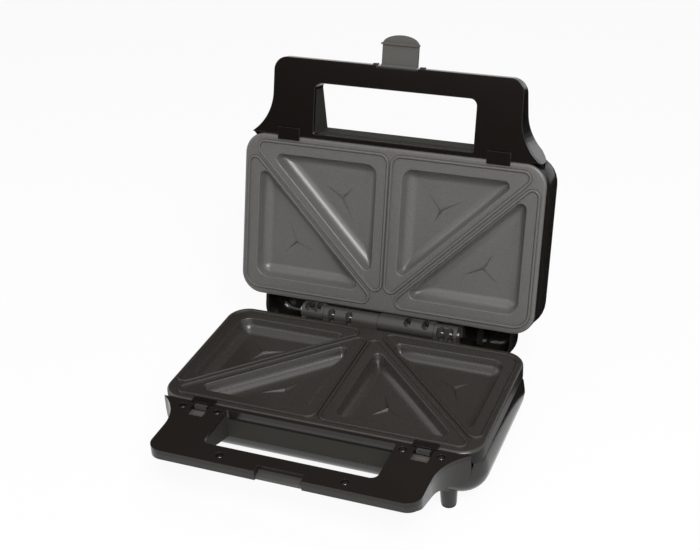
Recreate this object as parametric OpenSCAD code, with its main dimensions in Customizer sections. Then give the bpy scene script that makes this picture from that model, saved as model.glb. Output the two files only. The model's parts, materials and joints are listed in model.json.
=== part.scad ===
// Sandwich toaster, opened out: two removable four-triangle plates in deep
// moulded housings, loop handles, a four-knuckle hinge and a swing latch.
// Both halves are drawn closed, below the hinge axis, with the axis as their
// origin; the lid half is then turned over and swung open.

/* [Plates] */
// Width of a cooking plate, side to side
plate_w = 228; // [190:1:280]
// Depth of a cooking plate, front to back
plate_d = 123; // [103:1:150]
// Corner radius of the plate
plate_r = 16; // [12:1:18]
// Rounding of the plate's top edge
plate_edge_r = 2; // [1:0.5:2.5]
// Gap between the two plate rims when the toaster is closed
plate_gap = 3; // [2.8:0.1:4]
// Height of the skirt round the plate
skirt_h = 10.5; // [8:0.5:12]
// Thickness of the cast plate
plate_t = 2.2; // [1.8:0.1:3]
// Depth of the pockets
pocket_h = 11; // [9:0.5:13]
// Slope of the pocket walls
pocket_draft = 16; // [8:1:20]
// Rounding at the top of a pocket wall
pocket_lip_r = 1.5; // [1:0.25:2]
// Rounding at the foot of a pocket wall
pocket_foot_r = 4.5; // [3:0.5:5]
// Bead line to pocket, along the two square sides
pocket_leg_in = 10.2; // [9:0.1:12]
// Bead line to pocket along the diagonal, inner triangles
pocket_diag_in_a = 6.1; // [5:0.1:7]
// Bead line to pocket along the diagonal, outer triangles
pocket_diag_in_b = 4.2; // [4:0.1:6]
// Width of the raised sealing beads
bead_w = 2.4; // [2:0.1:3]
// Height of the raised sealing beads
bead_h = 1.2; // [0.8:0.1:1.3]
// Bead line to the plate's sides
bead_side = 4; // [3.5:0.5:5]
// Bead line to the plate's front and rear edges
bead_end = 5.5; // [5:0.5:7]
// Distance between the two bead lines along the middle
bead_mid = 2.6; // [2.6:0.1:4]
// Distance between the two bead lines along a diagonal
bead_diag = 4.1; // [3.5:0.1:5]
// Length of the star's arm toward a square corner
star_short = 12; // [8:1:16]
// Length of the star's arms toward the sharp corners
star_long = 17; // [12:1:20]
// Height of the star on a pocket's floor
star_h = 0.8; // [0.5:0.1:1.2]

/* [Housings] */
// Depth of a housing below its plate's rim
belly_h = 36; // [34:1:42]
// How far the housing stands out past the plate
belly_out = 2.5; // [1.5:0.5:4]
// Corner radius of the housing
belly_r = 20; // [18:1:24]
// Rounding of the housing's lower edge
belly_edge_r = 14; // [10:1:16]
// Height of the widest line below the plate's rim
belly_line = 20; // [18:0.5:22]
// Wall of the mouldings
wall = 2.4; // [2:0.1:3]
// Hinge axis behind the plate's rear edge
hinge_back = 6.8; // [6.6:0.1:9]
// Height of the base plate's rim above the table
rim_height = 48; // [48:1:56]
// Lid's rear hood to the plate's sides
hood_side = 16.3; // [14:0.1:24]
// Reach of the lid's rear hood behind the hinge axis
hood_reach = 19.7; // [19:0.1:22]
// Corner radius of the hood
hood_r = 15; // [12:1:16]
// Rounding of the hood's outer edge
hood_edge_r = 10; // [8:1:12]

/* [Handles] */
// Width of a handle bar
bar_w = 186; // [150:1:200]
// Reach of the handle in front of the plate
handle_reach = 57; // [52:1:66]
// Corner radius at the bar's front corners
bar_r = 10; // [6:1:12]
// Radius of the hollow flare between bar and housing
flare_r = 37.1; // [30:0.1:38]
// Flare centre in front of the plate
flare_y = 31.1; // [28:0.1:32]
// Bar thickness with its panel
bar_t = 7.2; // [7:0.1:8]
// Slope of the base handle's underside
base_slope = 0.28; // [0.2:0.01:0.32]
// Slope of the lid handle's underside
lid_slope = 0.39; // [0.34:0.01:0.42]
// Radius of the hollow sweep under the base handle
sweep_r = 40; // [36:1:42]
// Sweep centre in front of the plate
sweep_y = 34.7; // [34:0.1:36]
// Sweep centre below the plate's rim
sweep_z = 53.5; // [53:0.5:56]
// Thickness of the handle panels
panel_t = 3; // [2.5:0.1:3.5]
// Gap between plate and panel
panel_gap = 0.4; // [0.3:0.1:0.8]
// Width of the arms beside the finger opening
arm_w = 32.7; // [28:0.1:38]
// Front edge of the finger opening, in front of the plate
open_far = 40.3; // [36:0.1:42]
// Rear edge of the finger opening, in front of the plate
open_near = 3.3; // [3.2:0.1:5]
// Corner radius of the finger opening
open_r = 5; // [3:0.5:8]
// Corner radius of the finger opening beside the plate
open_rear_r = 1.5; // [1:0.5:3]
// Ledge low on the opening's rear wall
open_ledge = 1.2; // [0.6:0.1:1.6]
// Width of the latch notch
notch_w = 32; // [30:0.5:36]
// Depth of the latch recess in the base bar
notch_d = 6.2; // [5:0.1:7]

/* [Hinge] */
// Radius of the hinge knuckles
knuckle_r = 6; // [5.6:0.1:6.4]
// Length of a long knuckle
knuckle_long = 43; // [36:1:48]
// Length of a short knuckle
knuckle_short = 17.5; // [14:0.5:20]
// Clearance between neighbouring knuckles
knuckle_gap = 0.3; // [0.2:0.05:0.5]
// Radius of the hinge pin
pin_r = 2; // [1.8:0.05:2.2]
// Running clearance of the pins
pin_fit = 0.05; // [0.03:0.01:0.08]
// Opening angle of the lid
open_angle = 105; // [90:1:106]

/* [Latch and clips] */
// Place of the latch beside the middle
latch_off = 0.9; // [0:0.1:2]
// Width of the latch
latch_w = 26.7; // [24:0.1:27]
// Thickness of the latch's plate
latch_t = 2.5; // [2:0.1:3]
// Length of the thumb tab past the latch's hook
latch_tab = 5.6; // [4:0.1:8]
// Radius of the latch pin
latch_pin_r = 0.9; // [0.8:0.05:1]
// Width of a plate clip's nose
clip_w = 17; // [15:0.5:18]
// Width of a plate clip's slide
slide_w = 12; // [10:0.5:13]
// Distance of the plate clips from the bar's ends
clip_in = 14; // [13:0.5:17]
// Overlap of a clip's nose on the plate
clip_lap = 3; // [2.5:0.1:3.2]
// Travel of a plate clip
clip_travel = 3.4; // [3.3:0.1:3.6]

/* [Hidden] */

// The hinge axis behind the middle of the opened toaster, and above the table
hinge_y = 59.14;
hinge_z = rim_height + plate_gap / 2;
// Levels below the hinge axis
rim_z = -plate_gap / 2;
skirt_z = rim_z - skirt_h;
belly_z = rim_z - belly_h;
frame_z = rim_z - panel_t;
// Lines along the depth
back_y = -hinge_back;
front_y = back_y - plate_d;
mid_y = (back_y + front_y) / 2;
bar_y = front_y - handle_reach;
panel_y = front_y - panel_gap;
belly_back = back_y;
belly_front = front_y - belly_out - 0.5;
belly_half = plate_w / 2 + belly_out;
hood_half = plate_w / 2 - hood_side;
// Across the handle
open_w = bar_w - 2 * arm_w;
clip_x = bar_w / 2 - clip_in;
// Smooth curves
round_fn = 64;
hull_fn = 32;
corner_steps = 6;
eps = 0.01;

black = "#171412";
dark = "#24211f";
plate_grey = "#4b4845";
mid_grey = "#4c4a47";
steel = "#a9a9a9";

// ---- placing the two halves ----
module on_base() {
    translate([0, hinge_y, hinge_z]) children();
}

module on_lid() {
    translate([0, hinge_y, hinge_z]) rotate([-open_angle, 0, 0]) rotate([0, 180, 0]) children();
}

module both_sides() {
    children();
    mirror([1, 0, 0]) children();
}

// ---- triangles: corner points, rounded rings and lofts between rings ----
// The diagonal runs from the middle of the rear edge to a front corner
diag_from = [0, plate_d / 2 - 4.9];
diag_to = [plate_w / 2, -plate_d / 2 + 4.1];
diag_n = let(d = diag_to - diag_from) [-d[1], d[0]] / norm(d);
function diag_x(y, off) = (diag_n * diag_from + off - diag_n[1] * y) / diag_n[0];
function diag_y(x, off) = (diag_n * diag_from + off - diag_n[0] * x) / diag_n[1];
// Inner triangle, square at the front centre
function tri_a(leg, diag) =
    let(x = bead_mid / 2 + leg, y = -plate_d / 2 + bead_end + leg, off = -bead_diag / 2 - diag)
    [[x, y], [diag_x(y, off), y], [x, diag_y(x, off)]];
// Outer triangle, square at the rear outer corner
function tri_b(leg, diag) =
    let(x = plate_w / 2 - bead_side - leg, y = plate_d / 2 - bead_end - leg, off = bead_diag / 2 + diag)
    [[x, y], [diag_x(y, off), y], [x, diag_y(x, off)]];
function unit(v) = v / norm(v);
function spread(a, b) = let(t = b - a) t < 0 ? t + 360 : t;
// One corner: its arc keeps its centre as the ring moves in, down to a least radius
function corner(p, c, n, inset, r) =
    let(u = unit(p - c), v = unit(n - c), half = acos(u * v) / 2, rr = max(r - inset, 1),
        m = c + unit(u + v) * (inset + rr) / sin(half),
        a0 = atan2(-(c - p)[0], (c - p)[1]), a1 = atan2(-(n - c)[0], (n - c)[1]),
        turn = spread(a0, a1))
    [for (i = [0:corner_steps]) m + rr * [cos(a0 + turn * i / corner_steps), sin(a0 + turn * i / corner_steps)]];
function ring(t, inset, rs, z) =
    [for (k = [0:2]) for (p = corner(t[(k + 2) % 3], t[k], t[(k + 1) % 3], inset, rs[k])) [p[0], p[1], z]];
ring_n = 3 * (corner_steps + 1);

// Solid between rings, listed from the top down
module loft(rings) {
    m = len(rings);
    polyhedron(
        points = [for (r = rings) each r],
        faces = concat(
            [[for (i = [0:ring_n - 1]) ring_n - 1 - i]],
            [for (k = [0:m - 2]) for (i = [0:ring_n - 1]) let(j = (i + 1) % ring_n)
                each [[k * ring_n + i, k * ring_n + j, (k + 1) * ring_n + j],
                      [k * ring_n + i, (k + 1) * ring_n + j, (k + 1) * ring_n + i]]],
            [[for (i = [0:ring_n - 1]) (m - 1) * ring_n + i]]));
}

// Closed band whose section is the list of rings taken round
module band(rings) {
    m = len(rings);
    polyhedron(
        points = [for (r = rings) each r],
        faces = [for (k = [0:m - 1]) for (i = [0:ring_n - 1]) let(j = (i + 1) % ring_n, q = (k + 1) % m)
            each [[k * ring_n + j, k * ring_n + i, q * ring_n + j],
                  [q * ring_n + j, k * ring_n + i, q * ring_n + i]]]);
}

// ---- cooking plates ----
corners_a = [7, 5, 5];
corners_b = [11, 5, 5];
mouth_a = [8, 5, 5];
mouth_b = [8, 5, 5];

// Wall profile as [inset, depth]: lip, sloping wall and foot
lip_end = [-pocket_lip_r + pocket_lip_r * cos(pocket_draft), pocket_lip_r - pocket_lip_r * sin(pocket_draft)];
wall_run = (pocket_h - pocket_foot_r + pocket_foot_r * sin(pocket_draft) - lip_end[1]) / cos(pocket_draft);
foot_c = lip_end + wall_run * [sin(pocket_draft), cos(pocket_draft)]
    + pocket_foot_r * [cos(pocket_draft), -sin(pocket_draft)];
pocket_profile = concat(
    [[-pocket_lip_r, -0.6]],
    [for (t = [0, 0.35, 0.7, 1]) let(a = t * (90 - pocket_draft))
        [-pocket_lip_r + pocket_lip_r * sin(a), pocket_lip_r - pocket_lip_r * cos(a)]],
    [for (t = [0, 0.33, 0.66, 1]) let(a = pocket_draft + t * (90 - pocket_draft))
        foot_c + pocket_foot_r * [-cos(a), sin(a)]]);

module pocket(t, rs) {
    loft([for (p = pocket_profile) ring(t, p[0], rs, rim_z - p[1])]);
}

module pocket_shell(t, rs) {
    last = len(pocket_profile) - 1;
    loft([ring(t, -plate_t - 0.3, rs, rim_z - plate_t / 2),
          ring(t, pocket_profile[5][0] - plate_t, rs, rim_z - pocket_profile[5][1] - 0.8),
          ring(t, pocket_profile[7][0] - plate_t * 0.7, rs, rim_z - pocket_profile[7][1] - plate_t * 0.8),
          ring(t, pocket_profile[last][0], rs, rim_z - pocket_h - plate_t)]);
}

module bead(t, rs) {
    h = bead_w / 2;
    band([for (q = [[-h, -0.6], [-h, 0.1], [-h * 0.72, 0.75], [0, 1], [h * 0.72, 0.75], [h, 0.1], [h, -0.6]])
        ring(t, q[0], rs, rim_z + bead_h * q[1])]);
}

// Three tapering arms that run toward the pocket's corners
module star(t) {
    c = (t[0] + t[1] + t[2]) / 3;
    reach = [star_short, star_long, star_long];
    tips = [for (k = [0:2]) c + unit(t[k] - c) * reach[k]];
    notch = [for (k = [0:2]) c + unit((tips[k] + tips[(k + 1) % 3]) / 2 - c) * 1.1];
    floor_z = rim_z - pocket_h;
    loop = [tips[0], notch[0], tips[1], notch[1], tips[2], notch[2]];
    polyhedron(
        points = concat([for (p = loop) [p[0], p[1], floor_z - 0.5]], [for (p = loop) [p[0], p[1], floor_z]],
            [[c[0], c[1], floor_z + star_h]]),
        faces = concat([[0, 1, 2, 3, 4, 5]],
            [for (i = [0:5]) let(j = (i + 1) % 6) each [[i, 6 + i, 6 + j], [i, 6 + j, j]]],
            [for (i = [0:5]) let(j = (i + 1) % 6) [6 + j, 6 + i, 12]]));
}

module plate_slab() {
    hull() for (sx = [-1, 1], sy = [-1, 1])
        translate([sx * (plate_w / 2 - plate_r), sy * (plate_d / 2 - plate_r), 0])
            rotate_extrude($fn = 48) polygon(concat([[0, rim_z], [0, skirt_z], [plate_r, skirt_z]],
                [for (a = [0:22.5:90]) [plate_r - plate_edge_r + plate_edge_r * cos(a),
                    rim_z - plate_edge_r + plate_edge_r * sin(a)]]));
}

module rounded(w, d, r) {
    square([w - 2 * r, d], center = true);
    square([w, d - 2 * r], center = true);
    for (sx = [-1, 1], sy = [-1, 1])
        translate([sx * (w / 2 - r), sy * (d / 2 - r)]) circle(r, $fn = round_fn);
}

module plate() {
    translate([0, mid_y, 0]) {
        difference() {
            union() {
                difference() {
                    plate_slab();
                    translate([0, 0, skirt_z - 1]) linear_extrude(skirt_h + 1 - plate_t)
                        rounded(plate_w - 2 * plate_t, plate_d - 2 * plate_t, plate_r - plate_t);
                }
                both_sides() {
                    pocket_shell(tri_a(pocket_leg_in, pocket_diag_in_a), mouth_a);
                    pocket_shell(tri_b(pocket_leg_in, pocket_diag_in_b), mouth_b);
                }
            }
            both_sides() {
                pocket(tri_a(pocket_leg_in, pocket_diag_in_a), mouth_a);
                pocket(tri_b(pocket_leg_in, pocket_diag_in_b), mouth_b);
            }
        }
        both_sides() {
            bead(tri_a(0, 0), corners_a);
            bead(tri_b(0, 0), corners_b);
            star(tri_a(pocket_leg_in, pocket_diag_in_a));
            star(tri_b(pocket_leg_in, pocket_diag_in_b));
        }
    }
}

// ---- housings ----
module belly_form(inset, top) {
    r = belly_r - inset;
    e = belly_edge_r - inset;
    low = belly_z + inset;
    line = rim_z - belly_line;
    profile = concat([[0, top], [0, low]],
        [for (a = [-90:15:0]) [r - e + e * cos(a), low + e + e * sin(a)]],
        [[r, line], [r - 0.8, line + 6], [r - belly_out, skirt_z], [r - belly_out, top]]);
    hull() for (sx = [-1, 1], y = [belly_front + belly_r, belly_back - belly_r])
        translate([sx * (belly_half - belly_r), y, 0]) rotate_extrude($fn = hull_fn) polygon(profile);
}

// Ledge in the finger opening, and depth of the latch's way in the lid's bar
ledge_z = rim_z - 6.5;
lid_way_d = 3.4;
// The handle's sweep ends a little above the belly's floor
handle_low = belly_z + 2.2;
// Width of the rounding in under the handle's ends
end_r = 22;
// Half width of the handle where it meets the plate
handle_root = bar_w / 2 + flare_r - sqrt(pow(flare_r, 2) - pow(flare_y - panel_gap, 2));

// Plan of the handle, drawn in by `inset`
module handle_plan(inset, back) {
    half = bar_w / 2 - inset;
    low = bar_y + inset;
    r = bar_r - inset;
    fx = bar_w / 2 + flare_r;
    fy = front_y - flare_y;
    translate([-half + r, low]) square([2 * (half - r), handle_reach]);
    translate([-half, low + r]) square([2 * half, fy - low - r]);
    for (s = [-1, 1]) translate([s * (half - r), low + r]) circle(r, $fn = round_fn);
    difference() {
        translate([inset - handle_root, fy]) square([2 * (handle_root - inset), back - fy]);
        both_sides() translate([fx, fy]) circle(flare_r + inset, $fn = 128);
    }
}

// Side view of the handle: the underside rises toward the bar, and on the base
// it is also swept hollow beside the plate
module handle_side(inset, top, lid) {
    slope = lid ? lid_slope : base_slope;
    flat = lid ? 0 : 4;
    back = handle_reach + 25;
    lift = inset * sqrt(1 + pow(slope, 2));
    difference() {
        translate([bar_y - 1, handle_low + inset]) square([back, top - handle_low - inset]);
        translate([bar_y, rim_z - bar_t + lift])
            polygon([[-2, -60], [back, -60], [back, (flat - back) * slope], [flat, 0], [-2, 0]]);
        if (!lid) translate([front_y - sweep_y, rim_z - sweep_z]) circle(sweep_r + inset, $fn = 160);
    }
}

// View from the end of the handle: straight sides that lean in below the skirt
// and leave the belly's corners free
module handle_end(inset) {
    side = handle_root - end_r;
    turn = skirt_z - 0.6;
    rx = end_r - inset;
    rz = turn - handle_low - inset;
    polygon(concat(
        [[side + rx, -belly_z], [-side - rx, -belly_z]],
        [for (a = [180:15:270]) [rx * cos(a) - side, turn + rz * sin(a)]],
        [for (a = [270:15:360]) [side + rx * cos(a), turn + rz * sin(a)]]));
}

// Plan of the finger opening
module opening_plan(grow) {
    half = open_w / 2 + grow;
    far_r = open_r + grow;
    near_r = open_rear_r + grow;
    low = front_y - open_far - grow;
    high = front_y - open_near + grow;
    translate([-half + far_r, low]) square([2 * (half - far_r), high - low - near_r]);
    translate([-half + near_r, high - near_r - 1]) square([2 * (half - near_r), near_r + 1]);
    translate([-half, low + far_r]) square([2 * half, high - low - far_r - near_r]);
    for (s = [-1, 1]) {
        translate([s * (half - far_r), low + far_r]) circle(far_r, $fn = round_fn);
        translate([s * (half - near_r), high - near_r]) circle(near_r, $fn = 32);
    }
}

// The opening through the handle, with a ledge low on its rear wall
module opening_form(grow) {
    edge = front_y - open_near - open_ledge;
    intersection() {
        translate([0, 0, belly_z - 1]) linear_extrude(belly_h + 2) opening_plan(grow);
        rotate([90, 0, 90]) linear_extrude(plate_w, center = true)
            polygon([[bar_y, belly_z - 2], [edge, belly_z - 2], [edge, ledge_z], [front_y + 4, ledge_z],
                [front_y + 4, 2], [bar_y, 2]]);
    }
}

// The latch's way through a bar: on the base it has a floor the hook catches under
module latch_way(lid) {
    deep = lid ? lid_way_d : notch_d;
    foot = lid ? lid_way_d - 0.2 : 1.2;
    translate([lid ? -latch_off : latch_off, 0, 0]) rotate([90, 0, 90]) linear_extrude(notch_w, center = true)
        polygon([[bar_y - 5, belly_z], [bar_y + foot, belly_z], [bar_y + foot, rim_z - bar_t + 2.5],
            [bar_y + deep, rim_z - bar_t + 2.5], [bar_y + deep, 1], [bar_y - 5, 1]]);
}

module handle_solid(inset, top, back, lid) {
    intersection() {
        translate([0, 0, belly_z]) linear_extrude(top - belly_z) handle_plan(inset, back);
        rotate([90, 0, 90]) linear_extrude(plate_w, center = true) handle_side(inset, top, lid);
        translate([0, belly_back, 0]) rotate([90, 0, 0]) linear_extrude(plate_d + 2 * handle_reach)
            handle_end(inset);
    }
}

module handle_form(top, back, lid) {
    difference() {
        handle_solid(0, top, back, lid);
        opening_form(0);
        latch_way(lid);
    }
}

// Inside of the handle, clear of the opening's walls and the latch's way
module handle_hollow(lid) {
    difference() {
        handle_solid(wall, frame_z + 1, belly_front, lid);
        translate([0, 0, belly_z - 1]) linear_extrude(belly_h + 2) opening_plan(wall);
        translate([(lid ? -latch_off : latch_off) - notch_w / 2 - wall, bar_y - 5, belly_z - 1])
            cube([notch_w + 2 * wall, (lid ? lid_way_d : notch_d) + wall + 5, belly_h + 2]);
        clip_guides();
    }
}

// Screws that hold a base panel, given from the plate's front edge
screw_spots = [for (s = [-1, 1]) each [[s * (clip_x + 12.5), front_y - 7.1], [s * (clip_x - 13.2), front_y - 7],
    [s * (open_w / 2 - 17.3), bar_y + 8]]];
boss_r = 3.4;
screw_hole_r = 1.25;

// Guide under a plate clip
guide_y = front_y - 22.5;
slide_top = frame_z - 0.2;
slide_t = 1.8;
module clip_guides() {
    for (s = [-1, 1]) translate([s * clip_x - clip_w / 2 - 1.5, guide_y, belly_z + 6])
        cube([clip_w + 3, front_y - 2 - guide_y, slide_top - slide_t - 0.05 - belly_z - 6]);
}

// Space for the clip's post and slide through the frame's rear wall
module clip_ways() {
    for (s = [-1, 1]) translate([s * clip_x - clip_w / 2 - 0.4, front_y - 6, slide_top - slide_t - 0.05])
        cube([clip_w + 0.8, 8, 10]);
}

block_w = 2 * (knuckle_long + knuckle_short) + 3;
block_back = 5.4;
flange_t = 2.5;
flange_z = -knuckle_r - 4;
bracket_spots = [-36.3, -22.5, knuckle_long + knuckle_short * 0.33, knuckle_long + knuckle_short * 0.7];
bracket_screw_y = -4.3;
bracket_seat = -3.2;

// Block that carries the hinge bracket, swept up under its rear edge
module hinge_block() {
    seat = flange_z - flange_t;
    translate([-block_w / 2, 0, 0]) rotate([90, 0, 90]) linear_extrude(block_w)
        polygon([[belly_back - 3, seat], [belly_back - 3, belly_z + 8], [belly_back, belly_z + 10],
            [block_back - 3, seat - 10], [block_back, seat - 6], [block_back, seat]]);
}

// A housing's shell with its handle frame and hinge block; children are added
// to the outside before the belly is hollowed
module shell(lid) {
    difference() {
        union() {
            belly_form(0, skirt_z);
            handle_form(frame_z, panel_y, lid);
            handle_form(skirt_z - 0.3, front_y + 8, lid);
            hinge_block();
            children();
        }
        belly_form(wall, skirt_z + 1);
        handle_hollow(lid);
        clip_ways();
        for (x = bracket_spots) translate([x, bracket_screw_y, flange_z - flange_t - 9])
            cylinder(r = screw_hole_r, h = 10, $fn = 24);
    }
}

foot_spots = [for (s = [-1, 1]) each [[s * (plate_w / 2 - 22), front_y + 6.5],
    [s * (plate_w / 2 - 15.5), back_y - 7.5]]];
foot_top_r = 6.5;
foot_low_r = 5.3;
foot_pad_t = 1.6;
table_z = -hinge_z;
module feet() {
    for (p = foot_spots) translate([p[0], p[1], table_z + foot_pad_t])
        cylinder(r1 = foot_low_r, r2 = foot_top_r, h = belly_z - table_z - foot_pad_t + 12, $fn = 48);
}

// Cord outlet in the rear corner, outside the open lid's hood
gland_r = 5;
cord_r = 3.3;
gland_x = -hood_half - cord_r - 3.2;
gland_z = rim_z - belly_line;
gland_out = back_y + 2;
gland_in = 18;

module base_housing() {
    color(black) on_base() {
        difference() {
            union() {
                shell(false) {
                    feet();
                    translate([gland_x, gland_out - gland_in, gland_z]) rotate([-90, 0, 0])
                        cylinder(r = gland_r + 2.2, h = gland_in, $fn = round_fn);
                }
                intersection() {
                    handle_solid(wall / 2, frame_z, belly_front, false);
                    for (p = screw_spots) translate([p[0], p[1], belly_z])
                        cylinder(r = boss_r, h = belly_h, $fn = 32);
                }
            }
            for (p = screw_spots) translate([p[0], p[1], rim_z - bar_t + 0.8])
                cylinder(r = screw_hole_r, h = bar_t, $fn = 24);
            translate([gland_x, gland_out - gland_in - 1, gland_z]) rotate([-90, 0, 0])
                cylinder(r = gland_r, h = gland_in + 2, $fn = round_fn);
        }
    }
}

module foot_pads() {
    color("#2a2a2a") on_base() for (p = foot_spots) translate([p[0], p[1], table_z])
        cylinder(r = foot_low_r - 0.4, h = foot_pad_t, $fn = 48);
}

// Bushing with a lip outside and a groove lip inside the wall
module cord_gland() {
    color(dark) on_base() translate([gland_x, gland_out, gland_z]) rotate([90, 0, 0])
        rotate_extrude($fn = round_fn) polygon([[cord_r, -2], [gland_r + 0.4, -2], [gland_r + 1.8, -1.4],
            [gland_r + 1.8, 0], [gland_r - 0.02, 0], [gland_r - 0.02, 15], [cord_r, 15]]);
}

// ---- handle panels ----
module panel_form(notch_x, notch_half, notch_deep) {
    translate([0, 0, frame_z]) linear_extrude(panel_t) difference() {
        handle_plan(0, panel_y);
        opening_plan(0);
        translate([notch_x - notch_half, bar_y - 5]) square([2 * notch_half, notch_deep + 5]);
    }
}

module base_panel() {
    color(black) on_base() difference() {
        panel_form(latch_off, notch_w / 2, notch_d);
        for (s = [-1, 1]) translate([s * clip_x - slide_w / 2 - 0.2, front_y - 15.4, frame_z - 1])
            cube([slide_w + 0.4, 20, panel_t + 2]);
        for (p = screw_spots) translate([p[0], p[1], frame_z - 1]) {
            cylinder(r = 1.7, h = panel_t + 2, $fn = 24);
            translate([0, 0, 2.2]) cylinder(r = 2.7, h = panel_t, $fn = 32);
        }
    }
}

module lid_panel() {
    color(black) on_lid() difference() {
        panel_form(-latch_off, notch_w / 2 - 1, lid_notch_d);
        for (s = [-1, 1]) translate([s * clip_x - slide_w / 2 - 0.2, front_y - 6.1, frame_z - 1])
            cube([slide_w + 0.4, 20, panel_t + 2]);
    }
}

// Pan-head screw, head up, seated at the origin
module screw(shank, head_r, head_h, length) {
    rotate_extrude($fn = 32) polygon([[0, -length], [shank * 0.6, -length], [shank, -length + 1],
        [shank, 0], [head_r, 0], [head_r, head_h * 0.45], [head_r * 0.75, head_h * 0.9], [0, head_h]]);
}

module panel_screws() {
    color(steel) on_base() for (p = screw_spots) translate([p[0], p[1], frame_z + 1.2])
        screw(1.2, 2.4, 1.5, 4.2);
}

module base_plate() {
    color("#2e2b29") on_base() plate();
}

module lid_plate() {
    color(plate_grey) on_lid() plate();
}

// ---- heaters: a bent tube under the plate, in a bright tray ----
tube_r = 3.2;
tube_z = rim_z - pocket_h - plate_t - tube_r - 0.05;
tray_z = tube_z - tube_r - 1.2;
heat_half = plate_w / 2 - 50;
heat_deep = plate_d / 4;
bend_r = 14;
tail_x = 26;
module heater_tube() {
    translate([0, mid_y, tube_z]) {
        both_sides() {
            translate([heat_half, heat_deep - bend_r, 0]) rotate_extrude(angle = 90, $fn = 48)
                translate([bend_r, 0]) circle(tube_r, $fn = 24);
            translate([heat_half, -heat_deep + bend_r, 0]) rotate([0, 0, -90])
                rotate_extrude(angle = 90, $fn = 48) translate([bend_r, 0]) circle(tube_r, $fn = 24);
            translate([heat_half + bend_r, -heat_deep + bend_r, 0]) rotate([-90, 0, 0])
                cylinder(r = tube_r, h = 2 * (heat_deep - bend_r), $fn = 24);
            translate([0, -heat_deep, 0]) rotate([0, 90, 0]) cylinder(r = tube_r, h = heat_half, $fn = 24);
            translate([tail_x, heat_deep, 0]) rotate([0, 90, 0])
                cylinder(r = tube_r, h = heat_half - tail_x, $fn = 24);
        }
    }
}

module tray_form() {
    difference() {
        translate([0, mid_y, tray_z - 0.8]) linear_extrude(rim_z - pocket_h - plate_t - tray_z + 0.6)
            rounded(plate_w - 36, plate_d - 36, 12);
        translate([0, mid_y, tray_z]) linear_extrude(20) rounded(plate_w - 37.6, plate_d - 37.6, 11.2);
    }
    // Folded feet down to the housing's floor
    both_sides() for (s = [-1, 1])
        translate([plate_w / 2 - 60, mid_y + s * 22 - 4, belly_z + wall])
            cube([1, 8, tray_z - 0.4 - belly_z - wall]);
}

// Saddles carry the tube on the tray
module saddles() {
    for (x = [-38, 38]) translate([x - 2, mid_y - heat_deep - 5, tray_z]) difference() {
        cube([4, 10, tube_z - tray_z]);
        translate([-1, 5, tube_z - tray_z]) rotate([0, 90, 0]) cylinder(r = tube_r + 0.02, h = 6, $fn = 24);
    }
}

module base_element() {
    color("#5a5a5c") on_base() heater_tube();
}

module base_reflector() {
    color("#b8b8b8") on_base() {
        tray_form();
        saddles();
    }
}

module lid_element() {
    color("#5a5a5c") on_lid() heater_tube();
}

module lid_reflector() {
    color("#b8b8b8") on_lid() {
        tray_form();
        saddles();
    }
}

module thermostat() {
    color("#c8b890") on_base() translate([0, mid_y, tray_z]) {
        cylinder(r = 8, h = 3, $fn = 48);
        translate([0, 0, 2]) cylinder(r = 6.5, h = tube_z - tray_z - 2, $fn = 48);
    }
}

module thermal_fuse() {
    color("#c9c9c9") on_base() translate([-28, mid_y, tray_z]) {
        translate([0, 0, 2]) rotate([0, 90, 0]) cylinder(r = 2, h = 12, $fn = 32);
        translate([2, -3, 0]) cube([8, 6, 1]);
    }
}

module terminal_block() {
    color("#d8d2c4") on_base() translate([gland_x + 22, back_y - 34, belly_z + wall]) difference() {
        cube([18, 10, 9]);
        for (x = [4.5, 13.5]) translate([x, 5, 2]) cylinder(r = 1.6, h = 10, $fn = 24);
    }
}

// ---- plate clips: slides with a nose over the plate's edge ----
nose_t = 1.25;
module clip_slide(nose_d, post_d) {
    // Nose, lying on the panel and over the plate's edge
    translate([-clip_w / 2, front_y + clip_lap - nose_d, rim_z + 0.08]) cube([clip_w, nose_d, nose_t]);
    // Post through the panel's slot
    translate([-slide_w / 2, front_y - 0.3 - post_d, slide_top - slide_t])
        cube([slide_w, post_d, rim_z + 0.2 - slide_top + slide_t]);
    // Slide under the panel
    translate([-clip_w / 2, guide_y + clip_travel + 0.6, slide_top - slide_t])
        cube([clip_w, front_y - 0.3 - guide_y - clip_travel - 0.6, slide_t]);
}

module base_clip(s) {
    on_base() translate([s * clip_x, 0, 0]) difference() {
        clip_slide(5.6, 5.3);
        // Finger hollow in the pad
        translate([0, front_y - 10.5, slide_top + 8.4]) rotate([0, 90, 0])
            cylinder(r = 9, h = slide_w - 3, center = true, $fn = round_fn);
    }
}

module base_clip_left() {
    color(mid_grey) base_clip(-1);
}

module base_clip_right() {
    color(mid_grey) base_clip(1);
}

module lid_clip(s) {
    on_lid() translate([s * clip_x, 0, 0]) clip_slide(9.2, 2.2);
}

module lid_clip_left() {
    color(dark) lid_clip(1);
}

module lid_clip_right() {
    color(dark) lid_clip(-1);
}

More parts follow.
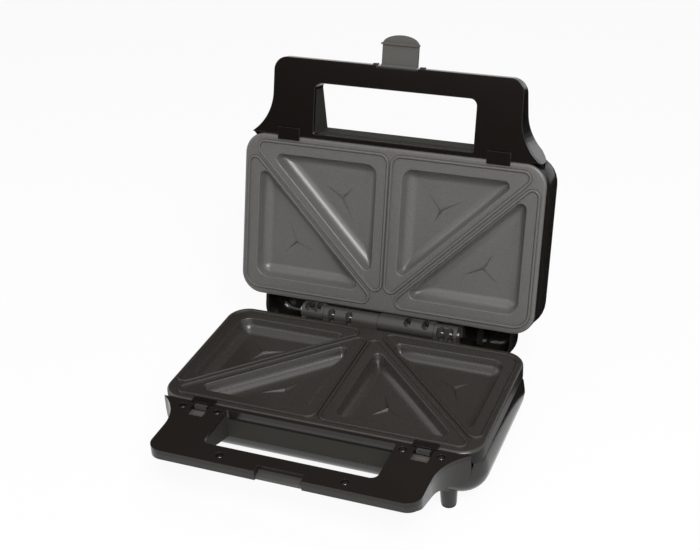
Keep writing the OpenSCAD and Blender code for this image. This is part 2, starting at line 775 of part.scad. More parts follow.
// ---- hinge: two alike brackets, one turned over, on one pin ----
module bracket() {
    long_x = -knuckle_long + knuckle_gap / 2;
    difference() {
        union() {
            translate([long_x, 0, 0]) rotate([0, 90, 0])
                cylinder(r = knuckle_r, h = knuckle_long - knuckle_gap, $fn = round_fn);
            translate([knuckle_long + knuckle_gap / 2, 0, 0]) rotate([0, 90, 0])
                cylinder(r = knuckle_r, h = knuckle_short - knuckle_gap / 2, $fn = round_fn);
            // Webs down to the flange
            translate([long_x, -knuckle_r - 0.4, flange_z - 1])
                cube([knuckle_long - knuckle_gap, knuckle_r + 3.4, -flange_z - 0.5]);
            translate([knuckle_long + knuckle_gap / 2, -knuckle_r - 0.4, flange_z - 1])
                cube([knuckle_short - knuckle_gap / 2, knuckle_r + 3.4, -flange_z - 0.5]);
            translate([-knuckle_long - knuckle_short, -knuckle_r - 0.4, flange_z - flange_t])
                cube([2 * (knuckle_long + knuckle_short), knuckle_r + 5.4, flange_t]);
        }
        translate([-100, 0, 0]) rotate([0, 90, 0]) cylinder(r = pin_r + pin_fit, h = 200, $fn = round_fn);
        // Screw seats
        for (x = bracket_spots) {
            translate([x, bracket_screw_y, flange_z - flange_t - 1]) cylinder(r = 1.4, h = 20, $fn = 24);
            translate([x, bracket_screw_y, bracket_seat]) cylinder(r = 2.7, h = 20, $fn = 32);
        }
        translate([knuckle_long + 2.4, bracket_screw_y - 4, bracket_seat])
            cube([knuckle_short - 4.8, 5.7, 20]);
    }
}

module bracket_screws() {
    for (x = bracket_spots) translate([x, bracket_screw_y, bracket_seat]) screw(1.15, 2.4, 1.6, 16);
}

module base_bracket() {
    color(mid_grey) on_base() bracket();
}

module base_bracket_screws() {
    color(steel) on_base() bracket_screws();
}

module lid_bracket() {
    color(mid_grey) on_lid() bracket();
}

module lid_bracket_screws() {
    color(steel) on_lid() bracket_screws();
}

module hinge_pin() {
    run = knuckle_long + knuckle_short;
    color(steel) on_base() rotate([0, 90, 0]) {
        translate([0, 0, -run - 0.3]) cylinder(r = pin_r, h = 2 * run + 1.3, $fn = round_fn);
        translate([0, 0, -run - 1.6]) cylinder(r = pin_r + 1, h = 1.4, $fn = round_fn);
    }
}

// ---- lid housing with its rear hood ----
module hood_form(inset, top) {
    r = hood_r - inset;
    e = hood_edge_r - inset;
    low = belly_z + inset;
    profile = concat([[0, top], [0, low]],
        [for (a = [-90:15:0]) [r - e + e * cos(a), low + e + e * sin(a)]], [[r, top]]);
    hull() for (sx = [-1, 1], y = [belly_back - hood_r - 4, hood_reach - hood_r])
        translate([sx * (hood_half - hood_r), y, 0]) rotate_extrude($fn = hull_fn) polygon(profile);
}

lens_r = 3;
lens_x = 9;
lens_y = front_y + 19;
lens_out = 1.2;
hood_top = skirt_z - 0.2;
rib_x = 72.5;

module lid_housing() {
    color(black) on_lid() difference() {
        union() {
            difference() {
                shell(true) hood_form(0, hood_top);
                // Inside of the hood, behind the belly
                difference() {
                    intersection() {
                        hood_form(wall, hood_top + 1);
                        translate([-plate_w / 2, belly_back, belly_z]) cube([plate_w, hood_reach + 20, belly_h]);
                    }
                    hinge_block();
                    // Stiffening rib and screw pillar
                    translate([-rib_x - 2.2, belly_back - 3, belly_z]) cube([4.4, hood_reach, belly_h - 14]);
                    translate([rib_x - 4, belly_back + 5, belly_z]) cylinder(r = 6.3, h = belly_h - 14, $fn = 48);
                }
                translate([-block_w / 2, belly_back - 0.3, flange_z - flange_t])
                    cube([block_w, block_back - belly_back + 0.3, belly_h]);
            }
            // Ears for the latch pin
            for (s = [-1, 1])
                translate([s * (notch_w / 2 + 1.4) - latch_off - 1.7, bar_y - 0.9, rim_z - bar_t + 0.4])
                    cube([3.4, 2.6, frame_z - rim_z + bar_t - 0.7]);
        }
        for (s = [-1, 1]) translate([s * lens_x, lens_y, belly_z - 1])
            cylinder(r = lens_r + 0.02, h = wall + 2, $fn = 32);
        translate([-latch_off - notch_w / 2 - 4, bar_y + latch_in, latch_z]) rotate([0, 90, 0])
            cylinder(r = latch_pin_r + pin_fit, h = notch_w + 8, $fn = 32);
    }
}

module lens(s) {
    on_lid() translate([s * lens_x, lens_y, belly_z]) rotate([180, 0, 0])
        rotate_extrude($fn = 32) polygon([[0, -wall], [lens_r, -wall], [lens_r, lens_out * 0.5],
            [lens_r * 0.7, lens_out * 0.9], [0, lens_out]]);
}

module power_lens() {
    color("#b02018") lens(1);
}

module ready_lens() {
    color("#2c9a3a") lens(-1);
}

// ---- latch: swings on a pin in the lid bar, hooks under the base bar ----
latch_in = 0.8;
latch_knuckle_r = 1.85;
latch_z = frame_z - latch_knuckle_r - 0.1;
// Depth of the lid panel's notch, which lets the closed latch past
lid_notch_d = 1.4;
// The latch's plate is flush with the bar's underside when it stands open
latch_low = 0.1 - latch_t;
// The hook clears the underside of the closed base bar
hook_at = bar_t - rim_z - latch_z + 0.3;
hook_t = 1.2;
hook_h = 2.2;
tab_arc = latch_tab + 0.9;

module latch_plan() {
    edge = tab_arc - hook_at - hook_t - latch_tab;
    polygon(concat([[latch_w / 2, 0], [-latch_w / 2, 0]],
        [for (a = [180:10:360]) [latch_w / 2 * cos(a), edge + tab_arc * sin(a)]]));
}

module latch() {
    color(mid_grey) on_lid() translate([-latch_off, bar_y + latch_in, latch_z]) difference() {
        union() {
            rotate([0, 90, 0]) cylinder(r = latch_knuckle_r, h = latch_w, center = true, $fn = 48);
            translate([0, 0, latch_low]) linear_extrude(latch_t) latch_plan();
            // Hook rib, toward the base
            translate([-latch_w / 2 - 0.5, -hook_at - hook_t, latch_low + 0.4])
                cube([latch_w + 1, hook_t, latch_t - 0.4 + hook_h]);
        }
        rotate([0, 90, 0]) cylinder(r = latch_pin_r + pin_fit, h = latch_w + 2, center = true, $fn = 32);
    }
}

module latch_pin() {
    color(steel) on_lid() translate([-latch_off - notch_w / 2 - 3, bar_y + latch_in, latch_z])
        rotate([0, 90, 0]) cylinder(r = latch_pin_r, h = notch_w + 6, $fn = 32);
}

base_housing();
foot_pads();
cord_gland();
base_panel();
panel_screws();
base_plate();
base_element();
base_reflector();
thermostat();
thermal_fuse();
terminal_block();
base_clip_left();
base_clip_right();
base_bracket();
base_bracket_screws();
hinge_pin();
lid_bracket();
lid_bracket_screws();
lid_housing();
lid_panel();
lid_plate();
lid_element();
lid_reflector();
lid_clip_left();
lid_clip_right();
power_lens();
ready_lens();
latch();
latch_pin();
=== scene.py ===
# Sandwich toaster, opened out: looks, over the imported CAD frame.
import json
import math

import bmesh
import bpy
from mathutils import Matrix, Vector

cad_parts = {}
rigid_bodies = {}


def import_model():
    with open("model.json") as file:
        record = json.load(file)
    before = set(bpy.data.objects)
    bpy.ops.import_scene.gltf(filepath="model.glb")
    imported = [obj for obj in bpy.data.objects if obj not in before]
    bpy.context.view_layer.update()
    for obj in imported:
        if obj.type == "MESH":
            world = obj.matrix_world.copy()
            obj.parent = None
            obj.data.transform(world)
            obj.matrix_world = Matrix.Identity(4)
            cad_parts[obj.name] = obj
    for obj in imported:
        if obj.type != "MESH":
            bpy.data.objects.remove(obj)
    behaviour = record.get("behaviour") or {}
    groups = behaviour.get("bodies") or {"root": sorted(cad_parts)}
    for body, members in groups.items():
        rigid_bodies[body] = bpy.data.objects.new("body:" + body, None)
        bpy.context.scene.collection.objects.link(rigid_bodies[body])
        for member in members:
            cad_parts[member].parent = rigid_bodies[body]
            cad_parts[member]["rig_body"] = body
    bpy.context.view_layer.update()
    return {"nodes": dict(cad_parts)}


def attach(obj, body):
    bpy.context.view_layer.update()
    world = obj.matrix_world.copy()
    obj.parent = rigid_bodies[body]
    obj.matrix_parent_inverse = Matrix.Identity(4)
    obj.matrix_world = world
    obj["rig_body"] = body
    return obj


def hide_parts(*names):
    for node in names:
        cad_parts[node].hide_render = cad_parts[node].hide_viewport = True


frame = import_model()
nodes = frame["nodes"]

# ---- sizes, in millimetres, in each half's own frame: the hinge axis is the
# origin, the handle lies toward -Y and the housing hangs below, toward -Z ----
MM = 0.001
HINGE = Vector((0, 59.14, 49.5))
OPEN_ANGLE = 105
PLATE_W, PLATE_D, PLATE_R = 228.0, 123.0, 16.0
RIM_Z = -1.5  # a plate's upper face
SKIRT_Z = -12.0  # lower edge of a plate's skirt
UNDER_Z = -14.7  # underside of a plate
BELLY_Z = -37.5  # outside of a housing
FRAME_Z = -4.5  # face of the frame round a handle's panel
BACK_Y = -6.8  # rear edge of a plate
FRONT_Y = BACK_Y - PLATE_D
MID_Y = (BACK_Y + FRONT_Y) / 2
BAR_Y = FRONT_Y - 57  # front face of a handle's bar

BASE = Matrix.Translation(HINGE)
LID = (BASE @ Matrix.Rotation(math.radians(-OPEN_ANGLE), 4, "X")
       @ Matrix.Rotation(math.pi, 4, "Y"))


# ---- materials ----
def linear(code):
    """sRGB hex to the linear colour that the shader wants."""
    out = []
    for i in (1, 3, 5):
        c = int(code[i : i + 2], 16) / 255
        out.append(c / 12.92 if c <= 0.04045 else ((c + 0.055) / 1.055) ** 2.4)
    return (*out, 1.0)


def add(tree, kind, links=None, **settings):
    """Adds a shader node, sets its values and links {input: output socket} into it."""
    node = tree.nodes.new(kind)
    for key, value in settings.items():
        if hasattr(node, key):
            setattr(node, key, value)
        else:
            node.inputs[key.replace("_", " ")].default_value = value
    for socket, source in (links or {}).items():
        tree.links.new(source, node.inputs[socket])
    return node


def new_material(name, colour, roughness, metallic=0.0, specular=0.5):
    mat = bpy.data.materials.new(name)
    mat.use_nodes = True
    shader = mat.node_tree.nodes["Principled BSDF"]
    shader.inputs["Base Color"].default_value = linear(colour)
    shader.inputs["Roughness"].default_value = roughness
    shader.inputs["Metallic"].default_value = metallic
    shader.inputs["Specular IOR Level"].default_value = specular
    return mat, shader


def grain(mat, shader, grain_mm, depth_mm, tones=None, rough=None, strength=1.0, detail=3.0):
    """Fine grain in object space: bump, and a slight change of tone and gloss."""
    tree = mat.node_tree
    where = add(tree, "ShaderNodeTexCoord")
    noise = add(tree, "ShaderNodeTexNoise", {"Vector": where.outputs["Object"]},
                Scale=1.0 / (grain_mm * MM), Detail=detail, Roughness=0.6)
    bump = add(tree, "ShaderNodeBump", {"Height": noise.outputs["Fac"]},
               Strength=strength, Distance=depth_mm * MM)
    tree.links.new(bump.outputs["Normal"], shader.inputs["Normal"])
    if tones:
        ramp = add(tree, "ShaderNodeValToRGB", {"Fac": noise.outputs["Fac"]})
        for stop, place, tone in zip(ramp.color_ramp.elements, (0.35, 0.65), tones):
            stop.position = place
            stop.color = linear(tone)
        tree.links.new(ramp.outputs["Color"], shader.inputs["Base Color"])
    if rough:
        level = add(tree, "ShaderNodeMapRange", {"Value": noise.outputs["Fac"]},
                    From_Min=0.3, From_Max=0.7, To_Min=rough[0], To_Max=rough[1])
        tree.links.new(level.outputs["Result"], shader.inputs["Roughness"])


def coated_aluminium(name, low, high, roughness):
    """Die-cast aluminium under a baked non-stick coat: dark and satin, so the walls
    shade softly and the beads catch light. The fleck in the film is drawn at 0.5 mm,
    coarser than the real one, which is too fine to show."""
    mat, shader = new_material(name, high, roughness)
    grain(mat, shader, 0.5, 0.03, tones=(low, high),
          rough=(roughness - 0.05, roughness + 0.06), strength=0.5)
    return mat


def polished_plastic(name, colour, roughness, specular=0.5):
    """Injection-moulded from a polished tool: glossy, with the faint ripple about
    14 mm long that moulded walls show in reflections."""
    mat, shader = new_material(name, colour, roughness, specular=specular)
    grain(mat, shader, 14.0, 0.02, strength=0.35, detail=1.0)
    return mat


def grained_surface(name, low, high, roughness, specular=0.4):
    """Spark-grained, sprayed or glazed: a fine matt grain that breaks up reflections.
    It is drawn at 0.35 mm, coarser than the real one, which is too fine to show."""
    mat, shader = new_material(name, high, roughness, specular=specular)
    grain(mat, shader, 0.35, 0.03, tones=(low, high),
          rough=(roughness - 0.06, roughness + 0.06), strength=0.5)
    return mat


def worked_metal(name, colour, roughness):
    """Bare, plated or blackened metal: its gloss changes a little in 0.8 mm patches,
    which are drawn coarser than the real ones."""
    mat, shader = new_material(name, colour, roughness, metallic=1.0)
    grain(mat, shader, 0.8, 0.01, rough=(roughness - 0.05, roughness + 0.1), strength=0.4)
    return mat


# Warm near-black: the same coat as the lid's, painted darker here as painted shade; the highlights
# on its walls are tight and bright
BASE_COAT_PAINTED_DARKER = coated_aluminium("non-stick coat on cast aluminium, base, painted darker", "#272421", "#34312d", 0.27)
# The same coat, painted a paler grey than the base's as painted light, where the lid stands
# upright facing the lamps, with softer highlights
LID_COAT_PAINTED_LIGHTER = coated_aluminium("non-stick coat on cast aluminium, lid, painted lighter", "#4e4c4a", "#62605d", 0.31)
# Makes the plate's edge end in a dark line above the housing
PLATE_SKIRT = grained_surface("baked black paint, plate skirts", "#100f0e", "#171514",
                              0.45, specular=0.25)
# Black that turns grey where it mirrors the pale floor
HOUSING_ABS = polished_plastic("polished black ABS, housings", "#1c1a18", 0.2)
# Flat, mirror-smooth black, a little warmer than the housing; this copy of the panel ABS is
# painted lighter than the lid's, as painted reflection
BASE_PANEL_ABS_PAINTED_LIGHTER = polished_plastic("polished black ABS, base panel, painted lighter", "#221e1c", 0.16, specular=0.35)
# The same ABS, painted darker here as painted shade
LID_PANEL_ABS_PAINTED_DARKER = polished_plastic("polished black ABS, lid panel, painted darker", "#14100e", 0.16, specular=0.3)
# Duller, lighter floor of the latch's recess
RECESS_ABS = grained_surface("spark-grained black ABS, latch recess", "#3c3a37", "#474542", 0.5)
# Flat dark walls in the handle loops, with nearly no reflection
OPENING_ABS = grained_surface("spark-grained black ABS, handle openings", "#2a2925", "#33322e",
                              0.6, specular=0.08)
# Dull grey pads that show where to push
CLIP_NYLON = grained_surface("grey nylon, clip pads", "#3d3a38", "#494643", 0.5)
# Black that is less shiny than the panels beside it
DARK_NYLON = polished_plastic("polished black nylon, clip noses", "#14110f", 0.25, specular=0.4)
# Satin mid grey, lighter than the black round it
LATCH_NYLON = grained_surface("grey nylon, latch", "#454340", "#4f4d4a", 0.42)
# Satin grey that parts the hinge from the black housings
BRACKET_PAINT = grained_surface("grey powder coat, hinge brackets", "#34322f", "#3d3b37", 0.42)
# Dark screw heads with a small bright spot
BLACK_STEEL = worked_metal("black-oxide steel, screws", "#565350", 0.26)
# Dull dark screw heads in the hinge: a copy of the screw steel, painted darker as painted shade so
# the key lamp leaves no bright spot on them
HINGE_SCREW_STEEL_PAINTED_DARKER = worked_metal("steel painted darker, hinge screws", "#32302e", 0.62)
# Bright ends of the pins, and the small thermal parts inside
PLATED_STEEL = worked_metal("zinc-plated steel, pins", "#b8b6b2", 0.3)
# Inside the housings, seen only through gaps: a pale sheet that throws light back,
# a dull dark tube and a shiny cream block
TRAY_METAL = worked_metal("rolled aluminium, reflector trays", "#c8c8c6", 0.35)
SHEATH = worked_metal("oxidised steel, heater sheath", "#6a6866", 0.5)
CERAMIC = grained_surface("glazed ceramic, terminal block", "#d6d0c2", "#ded8cc", 0.35)
# Soft black ends under the feet
RUBBER = grained_surface("moulded rubber, foot pads", "#141414", "#1c1c1c", 0.8)
# Saturated, shiny dots on the lid
RED_LENS = polished_plastic("clear red lens", "#a81c14", 0.12)
GREEN_LENS = polished_plastic("clear green lens", "#1c8a34", 0.12)


# ---- outlines: loops of points that keep their count as they are drawn in ----
def rounded_path(corners, inset=0.0, steps=10):
    """Closed path through (x, y, r) corners, listed anticlockwise, moved in by `inset`."""
    points = [Vector(c[:2]) for c in corners]
    path = []
    for k, corner in enumerate(points):
        radius = corners[k][2]
        come = (corner - points[k - 1]).normalized()
        go = (points[(k + 1) % len(points)] - corner).normalized()
        turn = math.atan2(come.x * go.y - come.y * go.x, come.dot(go))
        side = 1 if turn > 0 else -1
        r = max(radius - side * inset, min(radius, 1.0))
        # where the two lines meet once both are moved in
        come_in, go_in = Vector((-come.y, come.x)), Vector((-go.y, go.x))
        meet = corner + (come_in + go_in) * (inset / (1 + come_in.dot(go_in)))
        reach = r * math.tan(abs(turn) / 2)
        start = meet - come * reach
        centre = start + come_in * side * r
        from_angle = math.atan2((start - centre).y, (start - centre).x)
        for i in range(steps + 1):
            t = from_angle + turn * i / steps
            path.append((centre.x + r * math.cos(t), centre.y + r * math.sin(t)))
    return path


def box_path(x0, y0, x1, y1, r):
    return [(x1, y1, r), (x0, y1, r), (x0, y0, r), (x1, y0, r)]


# ---- mesh building ----
FILL_TURN = 0.37  # radians; keeps points out of line while a flat is filled


def ring(bm, points, z):
    verts = [bm.verts.new((p[0], p[1], z)) for p in points]
    return verts, [bm.edges.new((verts[i - 1], verts[i])) for i in range(len(verts))]


def drawn_on(bm, loop, points, z):
    """Pulls a loop of edges out into a new loop that lies on the given points."""
    verts, edges = loop
    made = bmesh.ops.extrude_edge_only(bm, edges=edges)["geom"]
    new = {v for v in made if isinstance(v, bmesh.types.BMVert)}
    moved = [next(e.other_vert(v) for e in v.link_edges if e.other_vert(v) in new)
             for v in verts]
    for v, p in zip(moved, points):
        v.co = (p[0], p[1], z)
    return moved, [bm.edges.get((moved[i - 1], moved[i])) for i in range(len(moved))]


def rings(bm, profile, path, steps=10):
    """A wall that follows one path, drawn in by each (inset, z) of a profile in turn."""
    loops = [ring(bm, rounded_path(path, profile[0][0], steps), profile[0][1])]
    for inset, z in profile[1:]:
        loops.append(drawn_on(bm, loops[-1], rounded_path(path, inset, steps), z))
    return loops


def cap(bm, *loops):
    """Fills the flat between loops, holes included."""
    verts = [v for loop in loops for v in loop[0]]
    edges = [e for loop in loops for e in loop[1]]
    turn = Matrix.Rotation(FILL_TURN, 3, "Z")
    bmesh.ops.rotate(bm, verts=verts, cent=(0, 0, 0), matrix=turn)
    bmesh.ops.triangle_fill(bm, edges=edges, use_beauty=True, normal=(0, 0, 1))
    bmesh.ops.rotate(bm, verts=verts, cent=(0, 0, 0), matrix=turn.inverted())


def corner_arc(r, z, steps):
    """Profile of a rounded edge: from the side wall up to the top face."""
    angles = [math.radians(90 * i / steps) for i in range(steps + 1)]
    return [(r - r * math.cos(a), z - r + r * math.sin(a)) for a in angles]


def finish(name, bm, place, material, body, smooth=40, bevel=None, node=None):
    """Turns a millimetre bmesh into a finished piece in the frame, riding on its body."""
    bmesh.ops.remove_doubles(bm, verts=bm.verts, dist=0.0005)
    bmesh.ops.recalc_face_normals(bm, faces=bm.faces)
    bmesh.ops.transform(bm, matrix=Matrix.Scale(MM, 4) @ place, verts=bm.verts)
    mesh = bpy.data.meshes.new(name)
    bm.to_mesh(mesh)
    bm.free()
    for polygon in mesh.polygons:
        polygon.use_smooth = True
    mesh.set_sharp_from_angle(angle=math.radians(smooth))
    mesh.materials.append(material)
    piece = bpy.data.objects.new(name, mesh)
    bpy.context.scene.collection.objects.link(piece)
    if bevel:
        width, segments, angle = bevel
        edge = piece.modifiers.new("edges", "BEVEL")
        edge.width = width * MM
        edge.segments = segments
        edge.limit_method = "ANGLE"
        edge.angle_limit = math.radians(angle)
        edge.profile = 0.5
    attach(piece, body)
    if node:
        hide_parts(node)
    return piece


# ---- cooking plates ----
# The diagonal between the two pockets on the right, with the plate's middle as origin:
# its ends stand this far in from the rear and the front edge
DIAG_IN_REAR, DIAG_IN_FRONT = 4.9, 4.1
DIAG_FROM = Vector((0, PLATE_D / 2 - DIAG_IN_REAR))
DIAG_TO = Vector((PLATE_W / 2, -PLATE_D / 2 + DIAG_IN_FRONT))
DIAG_N = Vector((-(DIAG_TO - DIAG_FROM).y, (DIAG_TO - DIAG_FROM).x)).normalized()

# Middle line of the sealing beads: its distance from each thing beside it
BEAD_TO_CENTRE = 1.3
BEAD_TO_LONG_EDGE = 5.5
BEAD_TO_SHORT_EDGE = 4
BEAD_TO_DIAGONAL = 2.05
BEAD_HALF, BEAD_H = 1.05, 1.35

PAD_W = 8.6  # from a bead's middle line in to its pocket's mouth
POCKET_DEPTH = 9.5
STAR_REACH = (12.0, 17.5, 17.5)
STAR_HALF, STAR_H = 1.3, 1.8

EDGE_R = 2.0  # rounding from a plate's upper face to its skirt
SKIRT_T = 2.2
SKIRT_LIP = 0.2  # the skirt's wall ends this far below the flange inside it
SKIRT_CHAMFER = 0.25
UNDER_INSET = 9  # from a plate's edge in to its raised underside
PAINT_Z = RIM_Z - 1.6  # the skirt's black paint ends here, low on the rounding
PAINT_IN = 6  # and no face further in than this is painted


def diagonal_x(y, off):
    return (DIAG_N.dot(DIAG_FROM) + off - DIAG_N.y * y) / DIAG_N.x


def diagonal_y(x, off):
    return (DIAG_N.dot(DIAG_FROM) + off - DIAG_N.x * x) / DIAG_N.y


def triangle(x, y, off, radii):
    """Square at (x, y), with its long side along the diagonal."""
    return [(x, y, radii[0]), (diagonal_x(y, off), y, radii[1]), (x, diagonal_y(x, off), radii[2])]


def inner_triangle(leg, diag, radii):
    """Square at the front centre."""
    x, y = BEAD_TO_CENTRE + leg, -PLATE_D / 2 + BEAD_TO_LONG_EDGE + leg
    return triangle(x, y, -BEAD_TO_DIAGONAL - diag, radii)


def outer_triangle(leg, diag, radii):
    """Square at the rear outer corner."""
    x, y = PLATE_W / 2 - BEAD_TO_SHORT_EDGE - leg, PLATE_D / 2 - BEAD_TO_LONG_EDGE - leg
    return triangle(x, y, BEAD_TO_DIAGONAL + diag, radii)


# Each with its bead's radii, its mouth's radii and how far the mouth's long side
# stands in from the bead's
POCKETS = (
    (inner_triangle, (7, 5, 5), (8, 4, 4), 5.2),
    (outer_triangle, (11, 5, 5), (9, 4, 4), 2.2),
)


def on_plate(path, side):
    """A path of the right half, put on one side and moved to the plate's place."""
    if side < 0:
        path = [(-x, y, r) for x, y, r in reversed(path)]
    return [(x, y + MID_Y, r) for x, y, r in path]


def pocket_profile():
    """Lip, sloping wall and foot of a pocket, as (inset, z)."""
    lip, foot, draft = 0.7, 8.6, math.radians(20)
    out = []
    for i in range(6):
        a = (math.pi / 2 - draft) * i / 5
        out.append((-lip + lip * math.sin(a), -(lip - lip * math.cos(a))))
    end = (-lip + lip * math.cos(draft), -(lip - lip * math.sin(draft)))
    run = (POCKET_DEPTH - foot + foot * math.sin(draft) + end[1]) / math.cos(draft)
    cx = end[0] + run * math.sin(draft) + foot * math.cos(draft)
    cz = -(-end[1] + run * math.cos(draft) - foot * math.sin(draft))
    for i in range(8):
        a = draft + (math.pi / 2 - draft) * i / 7
        out.append((cx - foot * math.cos(a), cz - foot * math.sin(a)))
    return out


def bead_profile():
    """Round bead with a fine groove along each foot, as (inset, z). The outer groove
    is the narrower, because two beads run side by side along the plate's middle."""
    w, h = BEAD_HALF, BEAD_H
    return [(-w - 0.2, 0.0), (-w - 0.12, -0.35), (-w, -0.3), (-w * 0.85, 0.5),
            (-w * 0.5, h * 0.9), (-w * 0.15, h), (w * 0.15, h), (w * 0.5, h * 0.9),
            (w * 0.85, 0.5), (w, -0.3), (w + 0.25, -0.4), (w + 0.55, 0.0)]


def star_on_floor(bm, path, floor_z):
    """Three thin tapering ridges that run toward the pocket's corners."""
    pts = [Vector(p[:2]) for p in path]
    c = sum(pts, Vector((0, 0))) / 3
    tips = [c + (p - c).normalized() * d for p, d in zip(pts, STAR_REACH)]
    loop = []
    for k in range(3):
        loop.append(tips[k])
        mid = (tips[k] + tips[(k + 1) % 3]) / 2 - c
        loop.append(c + mid.normalized() * STAR_HALF)
    verts, edges = ring(bm, [(p.x, p.y) for p in loop], floor_z)
    top = bm.verts.new((c.x, c.y, floor_z + STAR_H))
    for i in range(len(verts)):
        bm.faces.new((verts[i - 1], verts[i], top))
    return verts, edges


def cooking_plate(name, place, material, body, node):
    bm = bmesh.new()
    outline = box_path(-PLATE_W / 2, FRONT_Y, PLATE_W / 2, BACK_Y, PLATE_R)
    flange_z = SKIRT_Z + SKIRT_LIP
    profile = [(UNDER_INSET, UNDER_Z), (UNDER_INSET, flange_z), (SKIRT_T, flange_z),
               (SKIRT_T, SKIRT_Z), (SKIRT_CHAMFER, SKIRT_Z), (0, SKIRT_Z + SKIRT_CHAMFER)]
    profile += corner_arc(EDGE_R, RIM_Z, steps=6)
    skirt = rings(bm, profile, outline, 14)
    cap(bm, skirt[0])
    tops = [skirt[-1]]
    for side in (-1, 1):
        for make, bead_r, mouth_r, diag in POCKETS:
            # the bead, from its outer foot over to its inner foot
            bead = [(i, RIM_Z + z) for i, z in bead_profile()]
            loops = rings(bm, bead, on_plate(make(0, 0, bead_r), side))
            tops.append(loops[0])
            # the flat pad inside the bead, down to the pocket
            mouth = on_plate(make(PAD_W, diag, mouth_r), side)
            walls = rings(bm, [(i, RIM_Z + z) for i, z in pocket_profile()], mouth)
            cap(bm, loops[-1], walls[0])
            star = star_on_floor(bm, mouth, RIM_Z - POCKET_DEPTH)
            cap(bm, walls[-1], star)
    cap(bm, *tops)
    piece = finish(name, bm, place, material, body, smooth=28, node=node)
    # The skirt round the edge isn't coated: it is painted black, as the housing beside it
    piece.data.materials.append(PLATE_SKIRT)
    back = place.inverted()
    for polygon in piece.data.polygons:
        at = back @ (polygon.center / MM)
        near_edge = (abs(at.x) > PLATE_W / 2 - PAINT_IN
                     or abs(at.y - MID_Y) > PLATE_D / 2 - PAINT_IN)
        if near_edge and at.z < PAINT_Z:
            polygon.material_index = 1


cooking_plate("base_cooking_plate", BASE, BASE_COAT_PAINTED_DARKER, "base", "base_plate")
cooking_plate("lid_cooking_plate", LID, LID_COAT_PAINTED_LIGHTER, "lid", "lid_plate")


# ---- pieces that take their shape from the frame ----
def cad_skin(node, material, bevel, zones=()):
    """A merged copy of a CAD node, with its real edges rounded and its flats kept flat.
    A zone is a material and two corners of a box in the half's own frame: faces with
    their centre in the box take its material."""
    source = nodes[node]
    bm = bmesh.new()
    bm.from_mesh(source.data)
    bmesh.ops.scale(bm, vec=(1 / MM, 1 / MM, 1 / MM), verts=bm.verts)
    bmesh.ops.remove_doubles(bm, verts=bm.verts, dist=0.002)
    bmesh.ops.dissolve_limit(bm, angle_limit=math.radians(0.6), verts=bm.verts, edges=bm.edges)
    body = source["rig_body"]
    piece = finish(node + "_skin", bm, Matrix.Identity(4), material, body,
                   smooth=32, bevel=bevel, node=node)
    flats = piece.modifiers.new("flat faces stay flat", "WEIGHTED_NORMAL")
    flats.keep_sharp = True
    flats.weight = 100
    back = (LID if body.startswith("lid") else BASE).inverted()
    for number, (zone_material, low, high) in enumerate(zones, 1):
        piece.data.materials.append(zone_material)
        for polygon in piece.data.polygons:
            at = back @ (polygon.center / MM)
            if all(low[i] <= at[i] <= high[i] for i in range(3)):
                polygon.material_index = number


# Bevels: width in mm, segments, and the least angle in degrees of an edge that takes it
HOUSING_EDGE = (0.7, 3, 40)
PANEL_EDGE = (0.5, 3, 40)
BRACKET_EDGE = (0.35, 2, 40)
LATCH_EDGE = (0.3, 3, 40)
CLIP_EDGE = (0.25, 2, 40)

# Each box reaches a little past the faces it is for
LATCH_RECESS = (RECESS_ABS, (-15, BAR_Y + 0.6, RIM_Z - 8), (17, BAR_Y + 6.4, RIM_Z + 1))
LOOP_OPENING = (OPENING_ABS, (-74, FRONT_Y - 26, BELLY_Z + 2), (74, FRONT_Y - 4, FRAME_Z - 0.2))
CLIP_PAD = (CLIP_NYLON, (-PLATE_W / 2, FRONT_Y - 16, -9), (PLATE_W / 2, FRONT_Y - 5.7, RIM_Z))
cad_skin("base_housing", HOUSING_ABS, HOUSING_EDGE,
         zones=(LATCH_RECESS, LOOP_OPENING))
cad_skin("lid_housing", HOUSING_ABS, HOUSING_EDGE, zones=(LOOP_OPENING,))
for node in ("base_clip_left", "base_clip_right"):
    cad_skin(node, DARK_NYLON, CLIP_EDGE, zones=(CLIP_PAD,))
for node, material, bevel in (
    ("base_panel", BASE_PANEL_ABS_PAINTED_LIGHTER, PANEL_EDGE),
    ("lid_panel", LID_PANEL_ABS_PAINTED_DARKER, PANEL_EDGE),
    ("base_bracket", BRACKET_PAINT, BRACKET_EDGE),
    ("lid_bracket", BRACKET_PAINT, BRACKET_EDGE),
    ("latch", LATCH_NYLON, LATCH_EDGE),
    ("lid_clip_left", LID_PANEL_ABS_PAINTED_DARKER, CLIP_EDGE),
    ("lid_clip_right", LID_PANEL_ABS_PAINTED_DARKER, CLIP_EDGE),
):
    cad_skin(node, material, bevel)

for node, material in (
    ("foot_pads", RUBBER),
    ("cord_gland", DARK_NYLON),
    ("panel_screws", BLACK_STEEL),
    ("base_bracket_screws", HINGE_SCREW_STEEL_PAINTED_DARKER),
    ("lid_bracket_screws", HINGE_SCREW_STEEL_PAINTED_DARKER),
    ("hinge_pin", PLATED_STEEL),
    ("latch_pin", PLATED_STEEL),
    ("base_element", SHEATH),
    ("lid_element", SHEATH),
    ("base_reflector", TRAY_METAL),
    ("lid_reflector", TRAY_METAL),
    ("thermostat", PLATED_STEEL),
    ("thermal_fuse", PLATED_STEEL),
    ("terminal_block", CERAMIC),
    ("power_lens", RED_LENS),
    ("ready_lens", GREEN_LENS),
):
    nodes[node].data.materials.clear()
    nodes[node].data.materials.append(material)


# ---- studio: pale floor, white surround, soft lamps, black cards ----
FLOOR_WHITE = 0.92  # the rest is the paper itself, which keeps the object's shadow


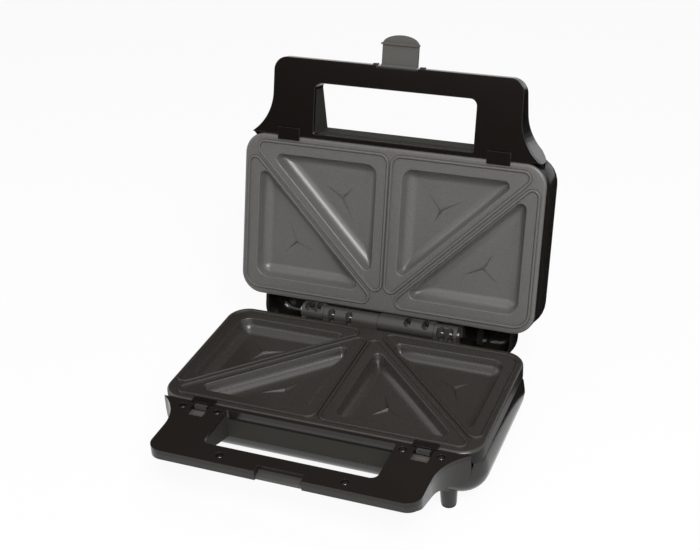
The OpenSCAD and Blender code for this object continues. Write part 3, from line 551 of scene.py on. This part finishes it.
def white_when_seen(tree, surface, share):
    """Mixes plain white into a shader for the rays that look at it straight, in gloss
    or through glass."""
    path = add(tree, "ShaderNodeLightPath")
    seen = path.outputs["Is Camera Ray"]
    for kind in ("Is Glossy Ray", "Is Transmission Ray"):
        either = add(tree, "ShaderNodeMath", {0: seen, 1: path.outputs[kind]},
                     operation="MAXIMUM")
        seen = either.outputs[0]
    part = add(tree, "ShaderNodeMath", {0: seen}, operation="MULTIPLY")
    part.inputs[1].default_value = share
    white = add(tree, "ShaderNodeEmission", Color=(1, 1, 1, 1))
    mix = add(tree, "ShaderNodeMixShader",
              {0: part.outputs[0], 1: surface, 2: white.outputs[0]})
    return mix.outputs[0]


def stage_sheet(name, material, size, at=(0, 0, 0), facing=(0, 0, 1)):
    sheet = bmesh.new()
    bmesh.ops.create_grid(sheet, x_segments=1, y_segments=1, size=0.5)
    turn = Vector(facing).to_track_quat("Z", "Y").to_matrix().to_4x4()
    place = Matrix.Translation(at) @ turn @ Matrix.Diagonal((*size, 1, 1))
    bmesh.ops.transform(sheet, matrix=place, verts=sheet.verts)
    mesh = bpy.data.meshes.new(name)
    sheet.to_mesh(mesh)
    sheet.free()
    mesh.materials.append(material)
    obj = bpy.data.objects.new(name, mesh)
    bpy.context.scene.collection.objects.link(obj)
    return obj


def studio():
    paper, shader = new_material("matt white paper, studio floor", "#f4f4f4", 0.9, specular=0.1)
    tree = paper.node_tree
    out = tree.nodes["Material Output"]
    tree.links.new(white_when_seen(tree, shader.outputs[0], FLOOR_WHITE), out.inputs["Surface"])
    stage_sheet("studio_floor", paper, (40, 40))

    world = bpy.data.worlds.new("studio surround")
    bpy.context.scene.world = world
    world.use_nodes = True
    tree = world.node_tree
    tree.nodes.clear()
    fill = add(tree, "ShaderNodeBackground", Color=linear("#f2f4f6"), Strength=0.22)
    add(tree, "ShaderNodeOutputWorld", {"Surface": white_when_seen(tree, fill.outputs[0], 1.0)})

    # Black cards, seen only in gloss: they keep the polished black black
    card, _ = new_material("black felt, studio cards", "#050505", 0.9, specular=0.0)
    for name, size, at, facing in (
        ("studio_card_behind", (3.2, 1.9), (-0.55, 1.7, 1.15), (0.3, -1, -0.55)),
        ("studio_card_front", (1.1, 0.8), (-0.62, -1.6, 0.25), (0.34, 1, 0.0)),
        ("studio_card_on_floor", (1.5, 1.1), (0.72, 0.62, 0.002), (0, 0, 1)),
    ):
        obj = stage_sheet(name, card, size, at, facing)
        obj.visible_camera = False
        obj.visible_diffuse = False
        obj.visible_shadow = False
        obj.visible_transmission = False


def lamp(name, at, aim, size, watts):
    light = bpy.data.lights.new(name, "AREA")
    light.shape = "RECTANGLE"
    light.size, light.size_y = size
    light.energy = watts
    holder = bpy.data.objects.new(name, light)
    holder.location = at
    holder.rotation_euler = (Vector(aim) - Vector(at)).to_track_quat("-Z", "Y").to_euler()
    bpy.context.scene.collection.objects.link(holder)


studio()
lamp("overhead softbox", (0.1, 0.1, 1.4), (0, 0.0, 0.05), (0.9, 0.7), 3)
lamp("key softbox, right of the camera", (0.66, -0.95, 1.2), (0, 0.02, 0.12), (0.75, 0.75), 25)
lamp("front fill", (-0.3, -1.4, 0.75), (0, 0.05, 0.15), (0.9, 0.4), 2)
lamp("left softbox", (-1.1, -0.2, 0.7), (0, 0, 0.1), (0.5, 0.8), 1.5)

# ---- camera: place, turn and lens, solved from the photograph's straight edges ----
CAMERA_AT = (0.29365, -0.68953, 0.54815)
FRAME_WIDTH = 700  # pixels
camera_data = bpy.data.cameras.new("camera")
camera_data.lens = 66.0
camera_data.sensor_width = 36.0
camera_data.clip_start = 0.01
camera_data.shift_x = -1.2 / FRAME_WIDTH
camera_data.shift_y = 1.2 / FRAME_WIDTH
camera = bpy.data.objects.new("camera", camera_data)
right = Vector((0.93046, 0.36374, -0.04394)).normalized()
up = Vector((-0.14503, 0.47579, 0.86752)).normalized()
back = right.cross(up)
turn = Matrix((right, up, back)).transposed().to_4x4()
camera.matrix_world = Matrix.Translation(CAMERA_AT) @ turn
bpy.context.scene.collection.objects.link(camera)
bpy.context.scene.camera = camera
bpy.context.scene.view_settings.view_transform = "Standard"
